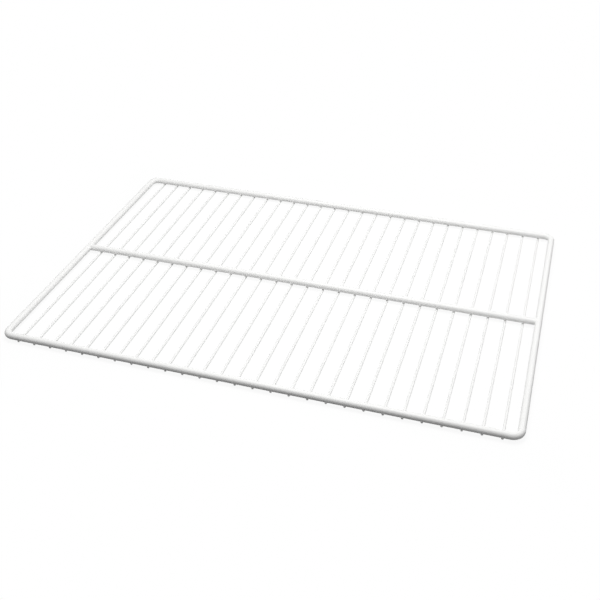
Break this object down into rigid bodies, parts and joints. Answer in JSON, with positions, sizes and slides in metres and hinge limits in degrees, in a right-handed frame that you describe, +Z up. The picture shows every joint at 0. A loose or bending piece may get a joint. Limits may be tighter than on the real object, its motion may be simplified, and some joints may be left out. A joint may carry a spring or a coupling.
{
  "type": "refrigerator shelf",
  "caption": "Flat wire refrigerator shelf: a rounded rectangular frame of thick round rod with a centre bar, carrying a row of thin front-to-back wires, all coated white.",
  "frame": {"origin": "under the middle of the shelf, on the plane that its cross wires rest on", "axes": "+X along the width to the right, +Y from the front bar to the back bar, +Z up; the frame lies on top of the cross wires"},
  "size_m": [0.53, 0.37, 0.0093],
  "materials": {
    "white_coating": "white polyester powder coat, half gloss, on steel rod and wire"
  },
  "bodies": {
    "root": {"frame_loop": "white_coating", "centre_bar": "white_coating", "cross_wire_01": "white_coating", "cross_wire_02": "white_coating", "cross_wire_03": "white_coating", "cross_wire_04": "white_coating", "cross_wire_05": "white_coating", "cross_wire_06": "white_coating", "cross_wire_07": "white_coating", "cross_wire_08": "white_coating", "cross_wire_09": "white_coating", "cross_wire_10": "white_coating", "cross_wire_11": "white_coating", "cross_wire_12": "white_coating", "cross_wire_13": "white_coating", "cross_wire_14": "white_coating", "cross_wire_15": "white_coating", "cross_wire_16": "white_coating", "cross_wire_17": "white_coating", "cross_wire_18": "white_coating", "cross_wire_19": "white_coating", "cross_wire_20": "white_coating", "cross_wire_21": "white_coating", "cross_wire_22": "white_coating", "cross_wire_23": "white_coating", "cross_wire_24": "white_coating", "cross_wire_25": "white_coating", "cross_wire_26": "white_coating", "cross_wire_27": "white_coating", "cross_wire_28": "white_coating"}
  },
  "joints": []
}
